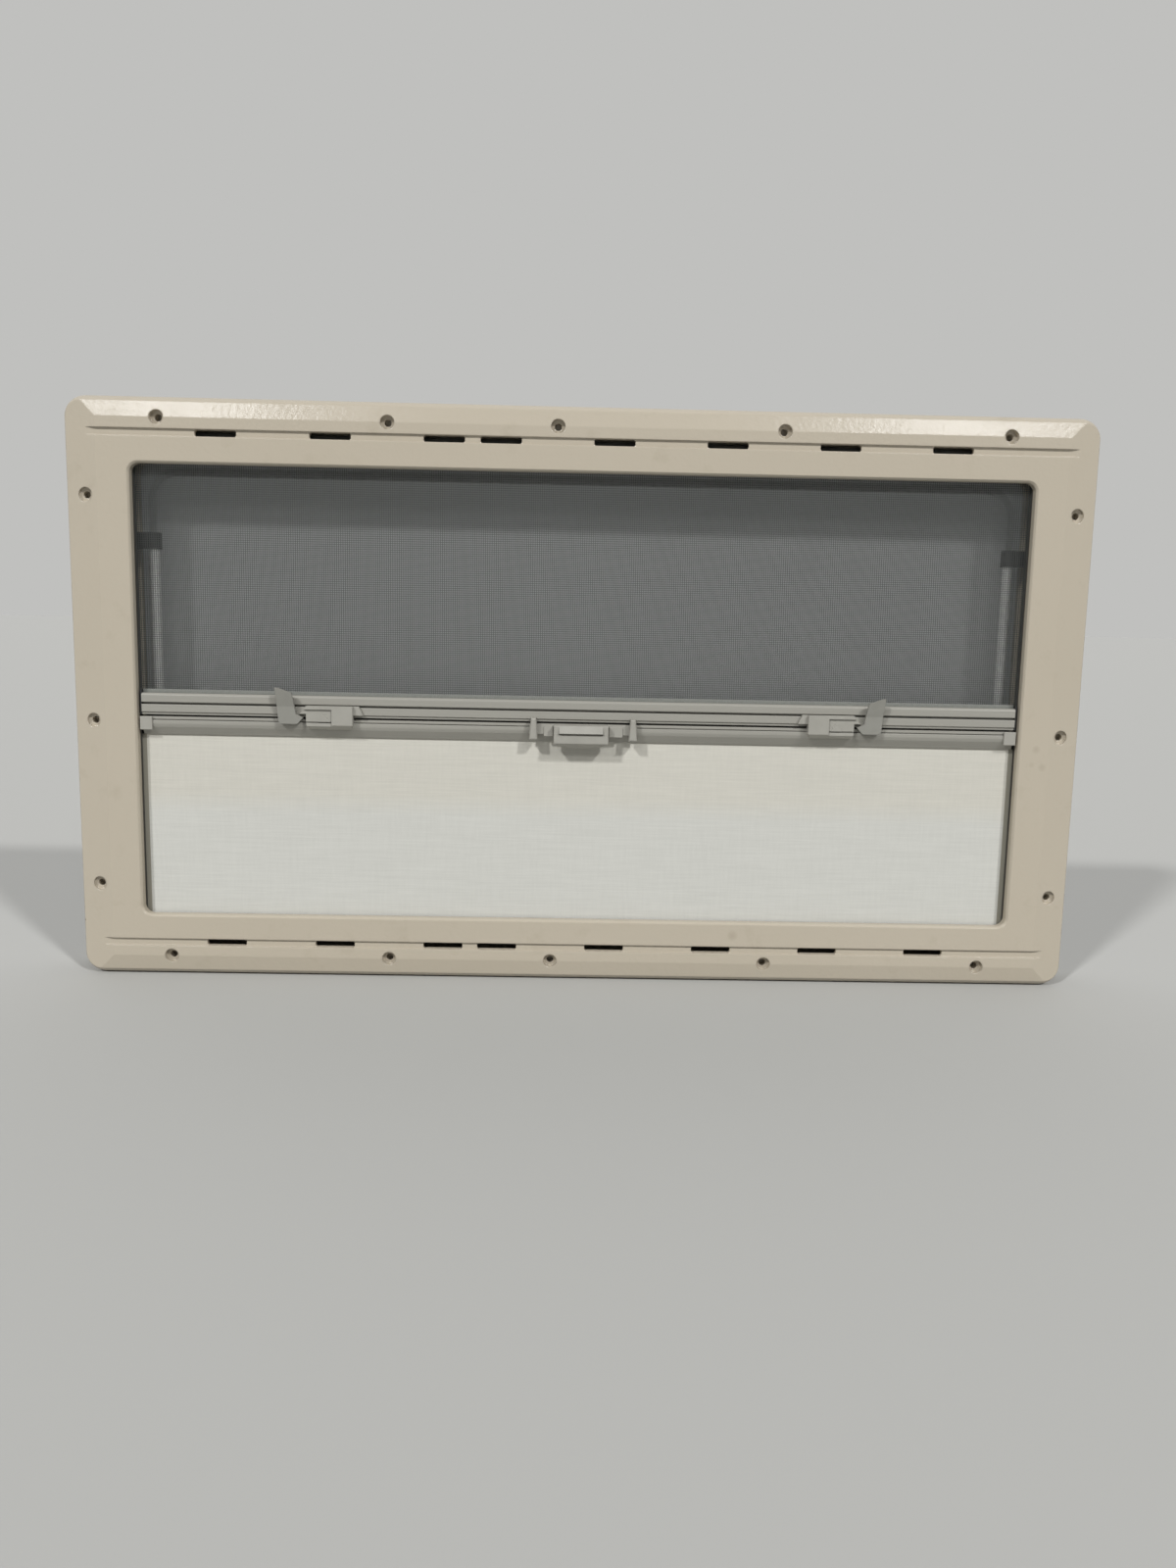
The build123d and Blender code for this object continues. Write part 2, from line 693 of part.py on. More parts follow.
# Handle: a base plate with two hooked posts, and between them the finger pull with its sloped thumb rest
base_face = bar_front + handle_base_thickness
with BuildPart() as handle_base:
    half = handle_base_length / 2
    with BuildSketch(room(bar_front)):
        block(handle_shift - half, handle_shift + half, slope_top, blind_bar_top)
    extrude(amount=handle_base_thickness)
    post_x = half - post_bottom_width / 2
    post_angle = degrees(atan2(post_height, (post_bottom_width - post_top_width) / 2))
    for sign in (-1, 1):
        with BuildSketch(room(bar_front)):
            with Locations((handle_shift + sign * post_x, screen_bar_bottom + post_lap - post_height / 2)):
                Trapezoid(post_bottom_width, post_height, post_angle)
        extrude(amount=post_reach)
    for face in handle_base.faces().sort_by(Axis.Y)[:2]:
        fillet(face.edges(), post_round)
    with BuildSketch(room(base_face)):
        tab_top = blind_bar_top - tab_drop
        tab_inner = pull_width / 2 + tab_gap
        block(-tab_inner - tab_left_width, -tab_inner, tab_top - tab_height, tab_top)
        block(tab_inner, tab_inner + tab_right_width, tab_top - tab_height, tab_top)
    extrude(amount=tab_rise)
save(handle_base, "handle_base")

pull_top = blind_bar_top - pull_drop
pull_bottom = pull_top - pull_height
pull_front = base_face + pull_reach
with BuildPart() as handle_pull:
    with BuildSketch(room(base_face)):
        with BuildLine():
            half = pull_width / 2
            Polyline((-half, pull_bottom), (-half, pull_top), (half, pull_top), (half, pull_bottom))
            ThreePointArc((half, pull_bottom), (0, pull_bottom - pull_belly), (-half, pull_bottom))
        make_face()
    extrude(amount=pull_reach)
    with BuildSketch(across()):
        with BuildLine():
            Polyline((pull_front + overshoot, pull_bottom), (pull_front, pull_bottom),
                     (pull_front - pull_undercut, pull_bottom - pull_belly - overshoot),
                     (pull_front + overshoot, pull_bottom - pull_belly - overshoot), close=True)
        make_face()
    extrude(amount=pull_width, both=True, mode=Mode.SUBTRACT)
    fillet(handle_pull.faces().sort_by(Axis.Y)[0].edges(), pull_round)
    grip_top = pull_top - grip_margin
    grip_bottom = grip_top - grip_height
    with BuildSketch(across()):
        with BuildLine():
            Polyline((pull_front - overshoot, grip_bottom), (pull_front + grip_rise, grip_bottom),
                     (pull_front, grip_top), (pull_front - overshoot, grip_top), close=True)
        make_face()
    extrude(amount=grip_width / 2, both=True)
    with BuildSketch(room(pull_front)):
        block(-grip_width / 2, grip_width / 2, grip_bottom - slit_height, grip_bottom)
    extrude(amount=-slit_depth, mode=Mode.SUBTRACT)
save(handle_pull, "handle_pull")

# Catches: a body with a recessed panel, a low ear and a sloped underside, and a lever with a flared thumb tab
# above and a beak below
catch_top = screen_bar_top - catch_top_below_bar
catch_bottom = catch_top - catch_height
catch_outer = catch_inner + catch_width
catch_front = bar_front + catch_reach
panel_low = catch_outer - catch_panel_width
panel_top = catch_top - catch_panel_margin
panel_floor = catch_front - catch_panel_depth
slit_top = catch_bottom + catch_panel_margin
with BuildPart() as catch_body:
    with BuildSketch(room(bar_front)):
        with BuildLine():
            taper = catch_underside / 2
            Polyline((catch_inner, catch_top), (catch_outer, catch_top), (catch_outer, catch_bottom),
                     (catch_outer - taper, catch_bottom - catch_underside),
                     (catch_inner + taper, catch_bottom - catch_underside), (catch_inner, catch_bottom),
                     close=True)
        make_face()
        with BuildLine():
            tip_z = catch_top - catch_height / 4
            Polyline((catch_outer, tip_z + catch_tip / 2), (catch_outer + catch_tip, tip_z - catch_tip / 2),
                     (catch_outer, tip_z - catch_tip / 2), close=True)
        make_face()
    extrude(amount=catch_reach)
    with BuildSketch(across(catch_inner)):
        with BuildLine():
            Polyline((catch_front + overshoot, catch_bottom), (catch_front, catch_bottom),
                     (bar_front, catch_bottom - catch_underside),
                     (catch_front + overshoot, catch_bottom - catch_underside), close=True)
        make_face()
    extrude(amount=-catch_width, mode=Mode.SUBTRACT)
    with BuildSketch(room(catch_front)):
        block(panel_low, catch_outer + catch_tip, catch_bottom - catch_underside, panel_top)
    extrude(amount=-catch_panel_depth, mode=Mode.SUBTRACT)
    with BuildSketch(room(panel_floor)):
        block(panel_low, catch_outer, slit_top - catch_slit_height, slit_top)
    extrude(amount=-catch_slit_depth, mode=Mode.SUBTRACT)
    with BuildSketch(room(panel_floor)):
        with BuildLine():
            button_x = panel_low + catch_button_gap
            Polyline((button_x, slit_top), (button_x + catch_button, slit_top),
                     (button_x + catch_button_lean, slit_top + catch_button_height), close=True)
        make_face()
    extrude(amount=catch_button_rise)
    with BuildSketch(room(bar_front)):
        with BuildLine():
            ear_bottom = catch_top - catch_ear_height
            Polyline((catch_inner + overshoot, ear_bottom), (catch_inner + overshoot, catch_top),
                     (catch_inner - catch_ear_peak, catch_top), (catch_inner - catch_ear, ear_bottom),
                     close=True)
        make_face()
    extrude(amount=catch_ear_reach)
save_pair(catch_body, "catch_body")

lever_low = catch_outer + lever_gap + lever_beak
lever_bottom = catch_bottom + lever_raise
fold_z = lever_bottom + lever_foot_height
with BuildPart() as catch_lever:
    with BuildSketch(room(bar_front)) as outline:
        with BuildLine():
            lever_high = lever_low + lever_width
            tab_top = fold_z + lever_tab_height
            Polyline((lever_low, lever_bottom + lever_neck_height),
                     (lever_low + lever_lean, tab_top - lever_tab_dip),
                     (lever_high - lever_tab_crest, tab_top), (lever_high, tab_top),
                     (lever_high - lever_draft, lever_bottom), (lever_low - lever_hook, lever_bottom),
                     (lever_low - lever_beak, lever_bottom + lever_beak_height), close=True)
        make_face()
        fillet(outline.vertices().group_by(Axis.Y)[0], lever_heel)
    extrude(amount=lever_reach + lever_flare)
    with BuildSketch(across()):
        with BuildLine():
            lever_face = bar_front + lever_reach
            Polyline((bar_front, lever_bottom), (lever_face - lever_raise, lever_bottom),
                     (lever_face, fold_z), (lever_face + lever_flare, tab_top),
                     (lever_face + lever_flare - lever_thickness, tab_top),
                     (lever_face - lever_thickness, fold_z),
                     (lever_face - lever_thickness, lever_bottom + lever_foot_lap),
                     (bar_front, lever_bottom + lever_foot_lap), close=True)
        make_face()
    extrude(amount=frame_width / 2, both=True, mode=Mode.INTERSECT)
save_pair(catch_lever, "catch_lever")
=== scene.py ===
import math

import bmesh
import bpy
from mathutils import Matrix, Vector


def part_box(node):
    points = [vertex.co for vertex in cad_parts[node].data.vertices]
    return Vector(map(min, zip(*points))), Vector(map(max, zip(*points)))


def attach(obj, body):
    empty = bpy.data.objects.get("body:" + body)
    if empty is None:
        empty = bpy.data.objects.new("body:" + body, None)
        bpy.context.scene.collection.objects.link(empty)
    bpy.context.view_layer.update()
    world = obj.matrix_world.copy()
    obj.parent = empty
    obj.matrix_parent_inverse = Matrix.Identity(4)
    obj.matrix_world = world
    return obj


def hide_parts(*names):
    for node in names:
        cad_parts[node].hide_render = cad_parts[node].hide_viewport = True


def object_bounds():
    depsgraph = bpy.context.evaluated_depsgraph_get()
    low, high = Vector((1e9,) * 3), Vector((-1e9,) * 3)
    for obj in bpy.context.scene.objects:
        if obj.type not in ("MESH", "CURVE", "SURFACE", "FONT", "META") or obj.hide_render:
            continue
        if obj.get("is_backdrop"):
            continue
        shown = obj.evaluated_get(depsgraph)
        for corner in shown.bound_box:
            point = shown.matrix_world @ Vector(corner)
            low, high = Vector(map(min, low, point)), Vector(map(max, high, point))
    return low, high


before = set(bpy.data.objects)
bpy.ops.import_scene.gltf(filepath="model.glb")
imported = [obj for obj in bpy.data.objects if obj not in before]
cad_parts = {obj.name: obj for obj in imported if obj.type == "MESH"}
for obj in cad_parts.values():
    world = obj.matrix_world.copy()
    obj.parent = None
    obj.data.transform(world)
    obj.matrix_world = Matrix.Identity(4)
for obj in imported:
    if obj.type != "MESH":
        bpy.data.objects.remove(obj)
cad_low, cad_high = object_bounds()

# Outer frame: a moulded polyurethane ring that clamps the caravan's wall from outside, sprayed in the same
# cream two-pack paint as the inner frame. The rim round the sash is cast in one with it.
MM = 0.001
CREAM = "B3AA99"
CREAM_LIGHT = "B8AF9F"
CREAM_DIRTY = "A29885"
CLOUD_SIZE = 210.0       # slow drift of the paint's tone
SMUDGE_SIZE = 26.0
PEEL_SIZE = 4.0          # orange peel, really about 2 mm crest to crest, drawn coarser so that it shows
PEEL_HEIGHT = 0.14 * MM
EDGE_ROUND = 1.5 * MM    # paint and mould leave no sharp arris


def linear(colour):
    """Linear values of a colour written as six sRGB hex digits."""
    parts = [int(colour[i:i + 2], 16) / 255 for i in (0, 2, 4)]
    return [p / 12.92 if p <= 0.04045 else ((p + 0.055) / 1.055) ** 2.4 for p in parts] + [1.0]


def per(size_mm):
    """Texture scale for a pattern that repeats about every so many millimetres."""
    return 1 / (size_mm * MM)


def add(tree, kind, inputs=None, **settings):
    """Add a node, with its settings, and with values or links on its inputs."""
    made = tree.nodes.new("ShaderNode" + kind)
    for name, value in settings.items():
        setattr(made, name, value)
    for name, value in (inputs or {}).items():
        if isinstance(value, bpy.types.NodeSocket):
            tree.links.new(value, made.inputs[name])
        else:
            made.inputs[name].default_value = value
    return made


def start(name):
    """New material: its tree, its shader node and the object coordinates."""
    material = bpy.data.materials.new(name)
    material.use_nodes = True
    tree = material.node_tree
    return material, tree, tree.nodes["Principled BSDF"], add(tree, "TexCoord").outputs["Object"]


def dress(material, *names):
    """Give CAD nodes a finish."""
    for name in names:
        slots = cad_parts[name].data.materials
        slots.clear()
        slots.append(material)


def pair(*names):
    """The left and right nodes of pieces that come in pairs."""
    return [f"{name}_{side}" for name in names for side in ("left", "right")]


# Two-pack paint sprayed on moulded foam: even, semi-gloss, with the small ripple of orange peel in its shine.
# A mark is a spot with a centre and a radius in millimetres, the share of it that has its full colour, and
# that colour.
def cream_paint(name, marks=()):
    material, tree, shader, place = start(name)
    cloud = add(tree, "TexNoise", {"Vector": place, "Scale": per(CLOUD_SIZE), "Detail": 3.0})
    tone = add(tree, "Mix", {0: cloud.outputs["Fac"], 6: linear(CREAM), 7: linear(CREAM_LIGHT)},
               data_type="RGBA")
    smudge = add(tree, "TexNoise", {"Vector": place, "Scale": per(SMUDGE_SIZE), "Detail": 5.0,
                                    "Roughness": 0.6})
    thin = add(tree, "MapRange", {"Value": smudge.outputs["Fac"], "From Min": 0.58, "From Max": 0.78,
                                  "To Min": 0.0, "To Max": 0.35})
    tone = add(tree, "Mix", {0: thin.outputs["Result"], 6: tone.outputs[2], 7: linear(CREAM_DIRTY)},
               data_type="RGBA")
    for centre, radius, core, colour in marks:
        away = add(tree, "VectorMath", {0: place, 1: Vector(centre) * MM}, operation="DISTANCE")
        mark = add(tree, "MapRange", {"Value": away.outputs["Value"], "From Min": core * radius * MM,
                                      "From Max": radius * MM, "To Min": 1.0, "To Max": 0.0})
        tone = add(tree, "Mix", {0: mark.outputs["Result"], 6: tone.outputs[2], 7: linear(colour)},
                   data_type="RGBA")
    tree.links.new(tone.outputs[2], shader.inputs["Base Color"])
    gloss = add(tree, "MapRange", {"Value": smudge.outputs["Fac"], "To Min": 0.16, "To Max": 0.26})
    tree.links.new(gloss.outputs["Result"], shader.inputs["Roughness"])
    edge = add(tree, "Bevel", {"Radius": EDGE_ROUND}, samples=6)
    peel = add(tree, "TexNoise", {"Vector": place, "Scale": per(PEEL_SIZE), "Detail": 1.5, "Roughness": 0.45})
    ripple = add(tree, "Bump", {"Height": peel.outputs["Fac"], "Strength": 1.0, "Distance": PEEL_HEIGHT,
                                "Normal": edge.outputs["Normal"]})
    tree.links.new(ripple.outputs["Normal"], shader.inputs["Normal"])
    shader.inputs["IOR"].default_value = 1.5
    return material


dress(cream_paint("sprayed_cream_paint"), "outer_frame")

# Seal: an extruded rubber bead, set on the outer frame's flange all round the opening. The shut sash presses
# on it. Extruded rubber is near black and matt, with a faint grey bloom.
RUBBER = "161616"
RUBBER_BLOOM = "242423"
BLOOM_SIZE = 9.0
RUBBER_GRAIN = 0.8
material, tree, shader, place = start("extruded_black_rubber")
bloom = add(tree, "TexNoise", {"Vector": place, "Scale": per(BLOOM_SIZE), "Detail": 4.0})
tone = add(tree, "Mix", {0: bloom.outputs["Fac"], 6: linear(RUBBER), 7: linear(RUBBER_BLOOM)},
           data_type="RGBA")
tree.links.new(tone.outputs[2], shader.inputs["Base Color"])
shader.inputs["Roughness"].default_value = 0.72
grain = add(tree, "TexNoise", {"Vector": place, "Scale": per(RUBBER_GRAIN), "Detail": 2.0})
skin = add(tree, "Bump", {"Height": grain.outputs["Fac"], "Strength": 0.2, "Distance": 0.05 * MM})
tree.links.new(skin.outputs["Normal"], shader.inputs["Normal"])
dress(material, "frame_seal")

# Sash: two sheets of grey smoked acrylic, one formed inwards and one outwards, welded round their edges.
# Cast acrylic is polished and clear, and each of its faces takes a share of the light that passes. A film of
# grey dust on the room-side sheet catches the lamps.
SMOKE = "262929"
SMOKE_SHARE = 0.55
SMOKE_IOR = 2.0          # raised from 1.49, because the alpha takes most of the outer side's shine
DUST = "C4C6C5"
DUST_SHARE = 0.62
DUST_IOR = 1.3           # dust dulls the shine
SMEAR_SIZE = 70.0


def smoked_acrylic(name, colour, share, ior):
    """Polished acrylic of which each face holds back a share of the light, with smears in its shine."""
    material, tree, shader, place = start(name)
    shader.inputs["Base Color"].default_value = linear(colour)
    shader.inputs["Alpha"].default_value = share
    film = add(tree, "TexNoise", {"Vector": place, "Scale": per(SMEAR_SIZE), "Detail": 5.0, "Roughness": 0.6})
    smear = add(tree, "MapRange", {"Value": film.outputs["Fac"], "To Min": 0.02, "To Max": 0.12})
    tree.links.new(smear.outputs["Result"], shader.inputs["Roughness"])
    shader.inputs["IOR"].default_value = ior
    return material


dress(smoked_acrylic("smoked_acrylic", SMOKE, SMOKE_SHARE, SMOKE_IOR), "sash_outer_sheet")
dress(smoked_acrylic("dusty_smoked_acrylic", DUST, DUST_SHARE, DUST_IOR), "sash_inner_sheet")

# Hinge and stays: drawn aluminium, satin anodised. The hinge's two strips run along the sash's top edge, and
# a rod slides in the tube of each stay.
ALUMINIUM = "E2E2E0"
DRAWN_WIDTH = 0.35
DRAWN_LENGTH = 140.0


def lines_along(tree, place, sizes, **noise):
    """Noise stretched to so many millimetres along each axis, as drawing, extruding and weaving leave it."""
    stretch = add(tree, "Mapping", {"Vector": place, "Scale": [per(size) for size in sizes]})
    return add(tree, "TexNoise", {"Vector": stretch.outputs["Vector"], "Scale": 1.0, **noise}).outputs["Fac"]


def anodised(name, sizes):
    """Satin anodised aluminium with fine drawn lines. Its oxide film scatters most of the light."""
    material, tree, shader, place = start(name)
    lines = lines_along(tree, place, sizes, Detail=2.0)
    shader.inputs["Base Color"].default_value = linear(ALUMINIUM)
    shader.inputs["Metallic"].default_value = 0.25
    satin = add(tree, "MapRange", {"Value": lines, "To Min": 0.45, "To Max": 0.60})
    tree.links.new(satin.outputs["Result"], shader.inputs["Roughness"])
    die = add(tree, "Bump", {"Height": lines, "Strength": 0.15, "Distance": 0.02 * MM})
    tree.links.new(die.outputs["Normal"], shader.inputs["Normal"])
    return material


dress(anodised("anodised_hinge", (DRAWN_LENGTH, DRAWN_WIDTH, DRAWN_WIDTH)), "hinge_rail", "sash_hinge_strip")
dress(anodised("anodised_stay", (DRAWN_WIDTH, DRAWN_WIDTH, DRAWN_LENGTH)), *pair("stay_tube", "stay_rod"))

# Ends of the stays, latches and the screen bar's sliders: black nylon, moulded in spark-eroded tools, which
# leave a fine even grain that scatters the shine.
NYLON = "19191A"
NYLON_GRAIN = "262627"
SPARK_SIZE = 0.7
material, tree, shader, place = start("moulded_black_nylon")
grain = add(tree, "TexNoise", {"Vector": place, "Scale": per(SPARK_SIZE), "Detail": 2.0})
tone = add(tree, "Mix", {0: grain.outputs["Fac"], 6: linear(NYLON), 7: linear(NYLON_GRAIN)}, data_type="RGBA")
tree.links.new(tone.outputs[2], shader.inputs["Base Color"])
shader.inputs["Roughness"].default_value = 0.48
spark = add(tree, "Bump", {"Height": grain.outputs["Fac"], "Strength": 0.25, "Distance": 0.06 * MM})
tree.links.new(spark.outputs["Normal"], shader.inputs["Normal"])
dress(material, *pair("stay_cap", "stay_shoe", "latch_base", "latch_lever", "latch_keeper", "screen_slider"))

# Inner frame: the moulding seen from the room, screwed to the outer frame's collar through its recessed
# holes. Its paint has two chips on the left edge, near the lower corner, and a few faint finger marks.
CHIP_BROWN = "4A4136"
CHIP_CORE = 0.7
CHIPS = (((-473.5, -41.5, 44.5), 1.6), ((-474.0, -40.5, 35.5), 1.3))
FINGER_GREY = "9A907E"
FINGER_CORE = 0.0
FINGER_MARKS = (((109.0, -41.0, 512.0), 7.0), ((127.0, -41.5, 510.0), 6.0), ((143.0, -41.5, 511.0), 6.0),
                ((432.0, -44.0, 226.0), 6.0), ((429.0, -44.0, 211.0), 5.0), ((439.0, -44.0, 209.0), 6.0),
                ((150.0, -44.0, 40.0), 7.0))
marks = [(*chip, CHIP_CORE, CHIP_BROWN) for chip in CHIPS]
marks += [(*finger, FINGER_CORE, FINGER_GREY) for finger in FINGER_MARKS]
dress(cream_paint("sprayed_cream_paint_room_side", marks), "inner_frame")

# Guide rails and roller brackets: grey plastic, fixed behind the inner frame's lip, coloured darker than
# their plastic as painted shade for the deep gap beside the lip. The rails are extruded, which leaves fine
# upright lines in a satin face, and the edges of both fabrics run in them.
# Both tones are darkened: painted shade in the gap beside the lip.
RAIL_SHADED = "33322E"
RAIL_SHADED_LIGHT = "3B3A36"
RAIL_LINE_WIDTH = 0.6
RAIL_LINE_LENGTH = 120.0
material, tree, shader, place = start("extruded_grey_rail")
lines = lines_along(tree, place, (RAIL_LINE_WIDTH, RAIL_LINE_WIDTH, RAIL_LINE_LENGTH), Detail=2.0)
tone = add(tree, "Mix", {0: lines, 6: linear(RAIL_SHADED), 7: linear(RAIL_SHADED_LIGHT)}, data_type="RGBA")
tree.links.new(tone.outputs[2], shader.inputs["Base Color"])
shader.inputs["Roughness"].default_value = 0.5
dress(material, *pair("guide_rail", "screen_bracket", "blind_bracket"))

# Fly screen: coated glass-fibre mesh of fine crossed threads, wound on a sprung roller above the opening and
# drawn down to the screen bar, where a doubled hem slides into the bar's top.
THREAD_PITCH = 2.0 * MM  # really about 1.4 mm, with threads of 0.3 mm, drawn coarser so that it shows
THREAD_WIDTH = 0.42 * MM
THREAD = "545654"
THREAD_LIGHT = "606260"
FLECK_SIZE = 14.0
HEM_HEIGHT = 3.4 * MM
HEM_THICKNESS = 0.9 * MM
HEM_ROUND = 0.3 * MM
HEM = "6C6E69"
HEM_LIGHT = "868883"
HEM_WEAVE = 1.4


def mesh_piece(name, bm, material):
    """Turn a finished bmesh into a piece of the object that takes its finish from a named slot."""
    mesh = bpy.data.meshes.new(name)
    bm.to_mesh(mesh)
    bm.free()
    mesh.materials.append(material)
    piece = bpy.data.objects.new(name, mesh)
    bpy.context.scene.collection.objects.link(piece)
    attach(piece, "root")
    return piece


def thread_row(bm, low, high, step, count):
    """Lay a straight thread between two corners and repeat it side by side."""
    size, middle = high - low, (low + high) / 2
    place = Matrix.Translation(middle) @ Matrix.Diagonal((*size, 1.0))
    verts = bmesh.ops.create_cube(bm, size=1.0, matrix=place)["verts"]
    edges = {edge for vert in verts for edge in vert.link_edges}
    faces = {face for vert in verts for face in vert.link_faces}
    bmesh.ops.spin(bm, geom=[*verts, *edges, *faces], cent=middle, axis=(0, 0, 1), dvec=step, angle=0.0,
                   steps=count - 1, use_duplicate=True)


# Vinyl-coated threads: grey, dull, hardly varied.
material, tree, shader, place = start("coated_fibre_mesh")
fleck = add(tree, "TexNoise", {"Vector": place, "Scale": per(FLECK_SIZE), "Detail": 3.0})
tone = add(tree, "Mix", {0: fleck.outputs["Fac"], 6: linear(THREAD), 7: linear(THREAD_LIGHT)},
           data_type="RGBA")
tree.links.new(tone.outputs[2], shader.inputs["Base Color"])
shader.inputs["Roughness"].default_value = 0.6
shader.inputs["Specular IOR Level"].default_value = 0.15

low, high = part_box("fly_screen")
width, drop = high.x - low.x, high.z - low.z
bm = bmesh.new()
thread_row(bm, low, Vector((low.x + THREAD_WIDTH, high.y, high.z)), Vector((THREAD_PITCH, 0, 0)),
           int((width - THREAD_WIDTH) / THREAD_PITCH) + 1)
thread_row(bm, low, Vector((high.x, high.y, low.z + THREAD_WIDTH)), Vector((0, 0, THREAD_PITCH)),
           int((drop - THREAD_WIDTH) / THREAD_PITCH) + 1)
fly_screen = mesh_piece("woven_fly_screen", bm, material)
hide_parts("fly_screen")

# The same mesh doubled and welded: closed, a little lighter, with the weave still felt.
hem_material, tree, shader, place = start("doubled_mesh_hem")
weave = add(tree, "TexNoise", {"Vector": place, "Scale": per(HEM_WEAVE), "Detail": 1.0})
tone = add(tree, "Mix", {0: weave.outputs["Fac"], 6: linear(HEM), 7: linear(HEM_LIGHT)}, data_type="RGBA")
tree.links.new(tone.outputs[2], shader.inputs["Base Color"])
shader.inputs["Roughness"].default_value = 0.65
fold = add(tree, "Bump", {"Height": weave.outputs["Fac"], "Strength": 0.5, "Distance": 0.2 * MM})
tree.links.new(fold.outputs["Normal"], shader.inputs["Normal"])

bm = bmesh.new()
hem_place = Matrix.Translation((0, (low.y + high.y) / 2, low.z + HEM_HEIGHT / 2))
bmesh.ops.create_cube(bm, size=1.0,
                      matrix=hem_place @ Matrix.Diagonal((width, HEM_THICKNESS, HEM_HEIGHT, 1.0)))
bmesh.ops.bevel(bm, geom=bm.edges[:], offset=HEM_ROUND, offset_type="OFFSET", affect="EDGES", segments=2,
                profile=0.5, material=-1)
hem = mesh_piece("fly_screen_hem", bm, hem_material)

# Blind: white woven blackout cloth, wound on the roller below the opening and drawn up to its bar. It is
# matt, with lighter and darker slubs along its weft. Its top is tinted warmer, and its sides carry a band of
# painted shade that stands in for the rails' edge and the shadow beside the lip.
BLIND = "C8C8C2"
BLIND_SHADE = "BFBFB9"
TOP_TINT = "FFFCF7"      # warmer tint of the cloth's top
TOP_TINT_FROM = 150.0 * MM   # height at which the tint begins
TOP_TINT_TO = 170.0 * MM     # and at which it is full
# Painted shade: a darker grey band down both sides of the cloth, partly the rails' edge, partly the shadow
# beside the lip.
EDGE_SHADE = "868377"
EDGE_SHADE_FROM = 410.0 * MM   # from the blind's middle, where the band of painted shade begins
SLUB_HEIGHT = 1.4        # the threads are about 0.4 mm, drawn coarser so that they show
SLUB_LENGTH = 40.0
WARP_WIDTH = 1.8
WARP_LENGTH = 20.0
WARP_SHARE = 0.4         # how much the warp shows beside the weft
CLOTH_DEPTH = 8.0        # the pattern goes right through the cloth
RIPPLE = 0.25 * MM       # how far the taut cloth wavers from flat
SHORT_WAVE = 23.0        # radians a metre along the blind
LONG_WAVE = 9.0
SHORT_LEAN = 3.0         # radians from the blind's bottom to its top
LONG_LEAN = 5.0
blind_cloth, tree, shader, place = start("slubbed_white_cloth")
slub = lines_along(tree, place, (SLUB_LENGTH, CLOTH_DEPTH, SLUB_HEIGHT), Detail=3.0, Roughness=0.6)
cross = lines_along(tree, place, (WARP_WIDTH, CLOTH_DEPTH, WARP_LENGTH), Detail=2.0)
both = add(tree, "Math", {0: cross, 1: WARP_SHARE, 2: slub}, operation="MULTIPLY_ADD")
spread = add(tree, "MapRange", {"Value": both.outputs["Value"], "From Min": 0.45, "From Max": 0.95})
tone = add(tree, "Mix", {0: spread.outputs["Result"], 6: linear(BLIND_SHADE), 7: linear(BLIND)},
           data_type="RGBA")
along = add(tree, "SeparateXYZ", {0: place}).outputs
top_band = add(tree, "MapRange", {"Value": along["Z"], "From Min": TOP_TINT_FROM, "From Max": TOP_TINT_TO})
tone = add(tree, "Mix", {0: top_band.outputs["Result"], 6: tone.outputs[2], 7: linear(TOP_TINT)},
           data_type="RGBA", blend_type="MULTIPLY")
# The band of painted shade down the cloth's sides.
out = add(tree, "Math", {0: along["X"]}, operation="ABSOLUTE")
edge_shade = add(tree, "Math", {0: out.outputs["Value"], 1: EDGE_SHADE_FROM}, operation="GREATER_THAN")
tone = add(tree, "Mix", {0: edge_shade.outputs["Value"], 6: tone.outputs[2], 7: linear(EDGE_SHADE)}, data_type="RGBA")
tree.links.new(tone.outputs[2], shader.inputs["Base Color"])
shader.inputs["Roughness"].default_value = 0.85
shader.inputs["Sheen Weight"].default_value = 0.15
weave = add(tree, "Bump", {"Height": slub, "Strength": 0.35, "Distance": 0.15 * MM})
tree.links.new(weave.outputs["Normal"], shader.inputs["Normal"])

low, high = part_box("blind_fabric")
width, drop = high.x - low.x, high.z - low.z
bm = bmesh.new()
upright = Matrix.Translation((low + high) / 2) @ Matrix.Rotation(math.radians(90), 4, "X")
bmesh.ops.create_grid(bm, x_segments=120, y_segments=40, size=0.5,
                      matrix=upright @ Matrix.Diagonal((width, drop, 1.0, 1.0)))
for vert in bm.verts:
    share = (vert.co.z - low.z) / drop
    waver = math.sin(vert.co.x * SHORT_WAVE + SHORT_LEAN * share)
    waver += math.sin(vert.co.x * LONG_WAVE - LONG_LEAN * share)
    vert.co.y += RIPPLE / 2 * waver * math.sin(math.pi * share)
blind = mesh_piece("slubbed_blind", bm, blind_cloth)
thick = blind.modifiers.new("cloth_thickness", "SOLIDIFY")
thick.thickness = high.y - low.y
thick.offset = 0.0
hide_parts("blind_fabric")

# Rollers: spring rollers with the rest of each fabric wound on them, held in the brackets behind the frame's
# border. Past the roll's ends their steel pins show.
PIN_STEEL = "9A9A98"
WOUND_MESH = "5A5C5A"
WOUND_MESH_LIGHT = "6F7270"
TURN_WIDTH = 0.9
TURN_LENGTH = 45.0


